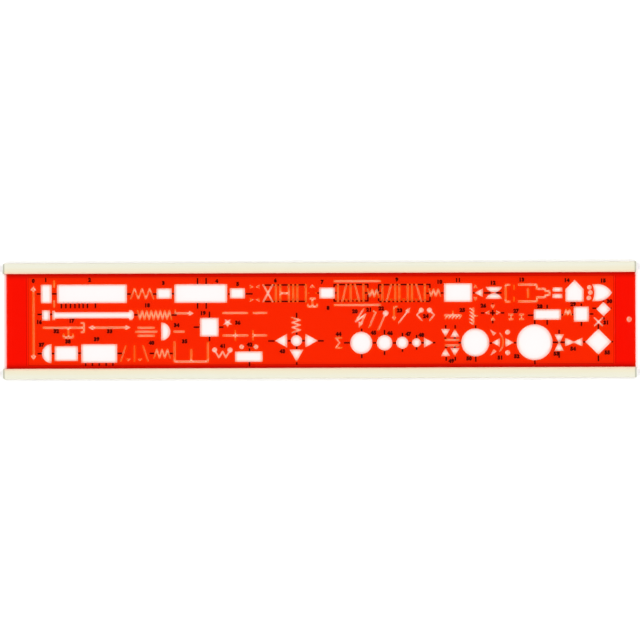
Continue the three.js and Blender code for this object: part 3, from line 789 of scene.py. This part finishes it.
    def strokes(self, rows: np.ndarray, run: Run) -> np.ndarray:
        """Turns typed strokes into their middles and reaches.

        Args:
            rows: start, end and height for strokes along, or distance, foot and top for strokes across.
            run: which way they run.

        Returns:
            For each stroke its middle X and Y, its reach from there along X, and its reach along Y. One of
            the reaches is 0, and bars() puts half the ink's width in its place.
        """
        if run is Run.ALONG:
            low, high, fixed = rows.T
            middles = np.column_stack([(low + high) / 2, fixed])
        else:
            fixed, low, high = rows.T
            middles = np.column_stack([fixed, (low + high) / 2])
        reaches = np.zeros_like(middles)
        reaches[:, run.value] = (high - low) / 2
        return np.hstack([self.in_frame(middles), reaches])

    def bars(self, strokes: np.ndarray, width: float) -> Solid:
        """Works out flat bars of ink with rounded corners, all at once.

        An outline's point at the angle t is the bar's middle, plus on each axis the sign of that axis'
        quarter times the reach less the corner's radius, plus the radius times the cosine or sine of t. The
        foot and the shoulder have that outline. The top's is drawn in by half the radius, because ink thins
        at its rim.

        Args:
            strokes: a bar's middle and reaches, one to a row, in millimetres.
            width: the ink's width.

        Returns:
            The points in metres, and the faces.
        """
        quarters = np.repeat(np.arange(4), self.corner_steps)
        angle = (quarters + np.tile(np.linspace(0, 1, self.corner_steps), 4)) * math.pi / 2
        on_right = (quarters == 0) | (quarters == 3)
        signs = np.column_stack([np.where(on_right, 1, -1), np.where(quarters < 2, 1, -1)])
        turn = np.column_stack([np.cos(angle), np.sin(angle)])
        half = np.where(strokes[:, 2:] > 0, strokes[:, 2:], width / 2)
        core = half - self.corner
        outer = strokes[:, None, :2] + signs * core[:, None, :] + self.corner * turn
        inner = strokes[:, None, :2] + signs * core[:, None, :] + self.corner / 2 * turn
        levels = self.floor + np.array([-self.bite, self.film * self.shoulder, self.film])
        rings = np.stack([outer, outer, inner], axis=1)
        height = np.broadcast_to(levels[None, :, None, None], (*rings.shape[:3], 1))
        points = np.concatenate([rings, height], axis=3).reshape(-1, 3) * MM

        count = len(angle)
        ring = np.arange(count)
        around = np.roll(ring, -1)
        wall = np.column_stack([ring, around, around + count, ring + count])
        walls = np.concatenate([wall, wall + count])
        starts = np.arange(len(strokes))[:, None, None] * len(levels) * count
        quads = (walls[None] + starts).reshape(-1, 4)
        tops = ring + 2 * count + starts[:, 0]
        feet = ring[::-1] + starts[:, 0]
        return points, quads.tolist() + tops.tolist() + feet.tolist()

    def digits(self) -> dict[str, Solid]:
        """Makes the shapes of the ten figures, as thin closed solids about their own middles.

        Returns:
            For each figure its points in millimetres and its faces.
        """
        shapes = {}
        for sign in "0123456789":
            text = bpy.data.curves.new("figure", "FONT")
            text.body = sign
            text.size = self.figure_size
            text.align_x = "CENTER"
            text.align_y = "CENTER"
            text.offset = self.figure_gain
            text.extrude = (self.film + self.bite) / 2
            text.resolution_u = self.figure_steps
            holder = bpy.data.objects.new("figure", text)
            bpy.context.scene.collection.objects.link(holder)
            bpy.context.view_layer.update()
            evaluated = holder.evaluated_get(bpy.context.evaluated_depsgraph_get())
            flat = bpy.data.meshes.new_from_object(evaluated)
            solid = bmesh.new()
            solid.from_mesh(flat)
            bmesh.ops.remove_doubles(solid, verts=solid.verts, dist=self.figure_merge)
            bmesh.ops.recalc_face_normals(solid, faces=solid.faces)
            solid.to_mesh(flat)
            solid.free()
            points = np.empty(len(flat.vertices) * 3)
            flat.vertices.foreach_get("co", points)
            points = points.reshape(-1, 3)
            points[:, :2] -= (points[:, :2].min(0) + points[:, :2].max(0)) / 2
            shapes[sign] = points, [list(face.vertices) for face in flat.polygons]
            log.info("figure %s: %.2f by %.2f mm", sign, *np.ptp(points[:, :2], axis=0))
            bpy.data.objects.remove(holder)
            bpy.data.curves.remove(text)
            bpy.data.meshes.remove(flat)
        return shapes

    def index_figures(self) -> Solid:
        """Sets the numbers from 0 up at their places, centred, each figure a pitch from the next.

        Returns:
            The points in metres, and the faces.
        """
        shapes = self.digits()
        points, faces, count = [], [], 0
        level = self.floor + (self.film - self.bite) / 2
        for number, (x, y) in enumerate(self.in_frame(np.array(self.FIGURES))):
            signs = str(number)
            for place, sign in enumerate(signs):
                shape, sides = shapes[sign]
                shift = (place - (len(signs) - 1) / 2) * self.figure_pitch
                points.append((shape + (x + shift, y, level)) * MM)
                faces.extend([[corner + count for corner in side] for side in sides])
                count += len(shape)
        return np.concatenate(points), faces

    def build(self, ink: bpy.types.Material) -> None:
        """Makes the figures, the ticks and the dashed outlines.

        Args:
            ink: the ink's finish.
        """
        new_piece("index_figures", *self.index_figures(), ink)
        scales = np.array([(at, foot, top) for places, foot, top in self.SCALES for at in places])
        across = np.concatenate([np.array(self.TICKS_ACROSS), scales])
        ticks = [self.strokes(np.array(self.TICKS_ALONG), Run.ALONG), self.strokes(across, Run.ACROSS)]
        new_piece("guide_ticks", *self.bars(np.concatenate(ticks), self.tick_width), ink)
        dashes = [(*pair, level) for level, ends in self.DASHES for pair in zip(ends[::2], ends[1::2])]
        dash_ends = self.strokes(np.array(self.DASH_ENDS), Run.ACROSS)
        outline = np.concatenate([self.strokes(np.array(dashes), Run.ALONG), dash_ends])
        new_piece("valve_outlines", *self.bars(outline, self.dash_width), ink)


@dataclass
class CutSheet:
    """The sheet with every symbol cut through it, and its print."""

    node: str = "template_sheet"

    def build(
        self, nodes: dict[str, bpy.types.Object], plastic: bpy.types.Material, ink: bpy.types.Material
    ) -> None:
        """Dresses the sheet and prints its marks.

        Args:
            nodes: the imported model's pieces by name.
            plastic: the sheet's finish.
            ink: the print's finish.
        """
        dress(nodes[self.node], plastic)
        PrintedMarks().build(ink)


@dataclass
class Rails:
    """The two slotted strips that hold the sheet off the paper."""

    nodes: tuple[str, str] = ("upper_rail", "lower_rail")

    def build(self, nodes: dict[str, bpy.types.Object], plastic: bpy.types.Material) -> None:
        """Dresses both rails.

        Args:
            nodes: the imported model's pieces by name.
            plastic: the rails' finish.
        """
        for name in self.nodes:
            dress(nodes[name], plastic)


def dress(piece: bpy.types.Object, material: bpy.types.Material) -> None:
    """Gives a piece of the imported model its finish.

    Args:
        piece: the piece.
        material: its finish.
    """
    for slot in piece.material_slots:
        slot.material = material
    log.info("%s: %s", piece.name, material.name)


@dataclass
class Studio:
    """White floor and a copying stand's light: four soft lamps, one beyond each corner, and a weak even
    light from all round. Straight above it is dark, so that the flat glossy sheet mirrors nothing into the
    lens. A lamp is its name, which way it stands, counted about the vertical from +X in degrees, and its
    watts."""

    floor_reach: float = 12000.0
    floor_drop: float = 0.02
    surround: float = 0.35
    overhead: float = 0.02
    dark_to_degrees: float = 35.0
    bright_from_degrees: float = 65.0
    horizon_degrees: Span = (20.0, 36.0)
    lamp_distance: float = 1500.0
    lamp_rise_degrees: float = 50.0
    lamp_size: Span = (260.0, 400.0)
    lamps: tuple[tuple[str, float, float], ...] = (
        ("right_back_lamp", 38.0, 6.65),
        ("right_front_lamp", -38.0, 6.65),
        ("left_back_lamp", 142.0, 6.3),
        ("left_front_lamp", -142.0, 6.3),
    )

    def build(self) -> None:
        """Makes the floor, the surroundings and the lamps."""
        self._floor()
        self._surroundings()
        for name, turn_degrees, watts in self.lamps:
            self._lamp(name, turn_degrees, watts)

    def _floor(self) -> None:
        """Makes the floor, a hair below the rails."""
        reach, level = self.floor_reach * MM, -self.floor_drop * MM
        corners = [(x * reach, y * reach, level) for x, y in ((-1, -1), (1, -1), (1, 1), (-1, 1))]
        mesh = bpy.data.meshes.new("floor")
        mesh.from_pydata(corners, [], [(0, 1, 2, 3)])
        mesh.materials.append(FloorFinish().build())
        floor = bpy.data.objects.new("floor", mesh)
        bpy.context.scene.collection.objects.link(floor)

    def _surroundings(self) -> None:
        """Makes the world: a weak light all round, which falls to the overhead one in a cone about the
        vertical. The camera sees it as white, and so do mirrored and passed rays near the horizon."""
        world = bpy.data.worlds.new("surroundings")
        bpy.context.scene.world = world
        world.use_nodes = True
        graph = Graph(world.node_tree)
        way = graph.add("ShaderNodeTexCoord").outputs["Generated"]
        rise = graph.add("ShaderNodeSeparateXYZ", {0: way}).outputs["Z"]
        near, far = (math.cos(math.radians(a)) for a in (self.dark_to_degrees, self.bright_from_degrees))
        strength = graph.ramp(rise, far, near, self.surround, self.overhead)
        light = graph.add("ShaderNodeBackground", {"Color": (1.0, 1.0, 1.0, 1.0), "Strength": strength})
        white = graph.add("ShaderNodeBackground", {"Color": (1.0, 1.0, 1.0, 1.0), "Strength": 1.0})
        rays = graph.add("ShaderNodeLightPath").outputs
        low, high = (math.sin(math.radians(a)) for a in self.horizon_degrees)
        horizon = graph.ramp(rise, low, high, 1.0, 0.0)
        by_plastic = graph.math("MAXIMUM", rays["Is Glossy Ray"], rays["Is Transmission Ray"])
        seen = graph.math("MAXIMUM", rays["Is Camera Ray"], graph.math("MULTIPLY", by_plastic, horizon))
        both = graph.add("ShaderNodeMixShader", {0: seen, 1: light.outputs[0], 2: white.outputs[0]})
        graph.add("ShaderNodeOutputWorld", {"Surface": both.outputs[0]})

    def _lamp(self, name: str, turn_degrees: float, watts: float) -> None:
        """Makes a lamp that looks at the template's middle.

        Args:
            name: the lamp's name.
            turn_degrees: which way it stands, counted about the vertical from +X.
            watts: its power.
        """
        data = bpy.data.lights.new(name, "AREA")
        data.shape = "RECTANGLE"
        data.size, data.size_y = (size * MM for size in self.lamp_size)
        data.energy = watts
        lamp = bpy.data.objects.new(name, data)
        rise, turn = math.radians(self.lamp_rise_degrees), math.radians(turn_degrees)
        reach = self.lamp_distance * MM
        flat = reach * math.cos(rise)
        lamp.location = (flat * math.cos(turn), flat * math.sin(turn), reach * math.sin(rise))
        lamp.rotation_euler = (0.0, math.pi / 2 - rise, turn)
        bpy.context.scene.collection.objects.link(lamp)


@dataclass
class CopyCamera:
    """A long lens straight above the template, turned by the little that the template lies askew in the
    frame. The clip distances are metres."""

    lens: float = 200.0
    sensor: float = 36.0
    clip: Span = (0.05, 50.0)
    frame_width: float = 302.98
    rail_top: float = 2.6
    aim: Span = (0.166, 0.19)
    roll_degrees: float = -0.2

    def build(self) -> None:
        """Makes the camera, as high as it takes for the frame's width to be seen at the rails' top."""
        data = bpy.data.cameras.new("copy_camera")
        data.lens = self.lens
        data.sensor_width = self.sensor
        data.clip_start, data.clip_end = self.clip
        camera = bpy.data.objects.new("copy_camera", data)
        height = self.frame_width * self.lens / self.sensor + self.rail_top
        camera.location = [v * MM for v in (*self.aim, height)]
        camera.rotation_euler = (0.0, 0.0, math.radians(self.roll_degrees))
        bpy.context.scene.collection.objects.link(camera)
        bpy.context.scene.camera = camera


def main() -> None:
    """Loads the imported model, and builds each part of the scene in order."""
    logging.basicConfig(level=logging.INFO, format="%(message)s")
    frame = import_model()
    effects = Effects()
    CutSheet().build(frame["nodes"], TintedSheetFinish().build(effects), InkFinish().build(effects))
    Rails().build(frame["nodes"], RailFinish().build(effects))
    Studio().build()
    CopyCamera().build()
    bpy.context.scene.view_settings.view_transform = "Standard"


if __name__ == "__main__":
    main()
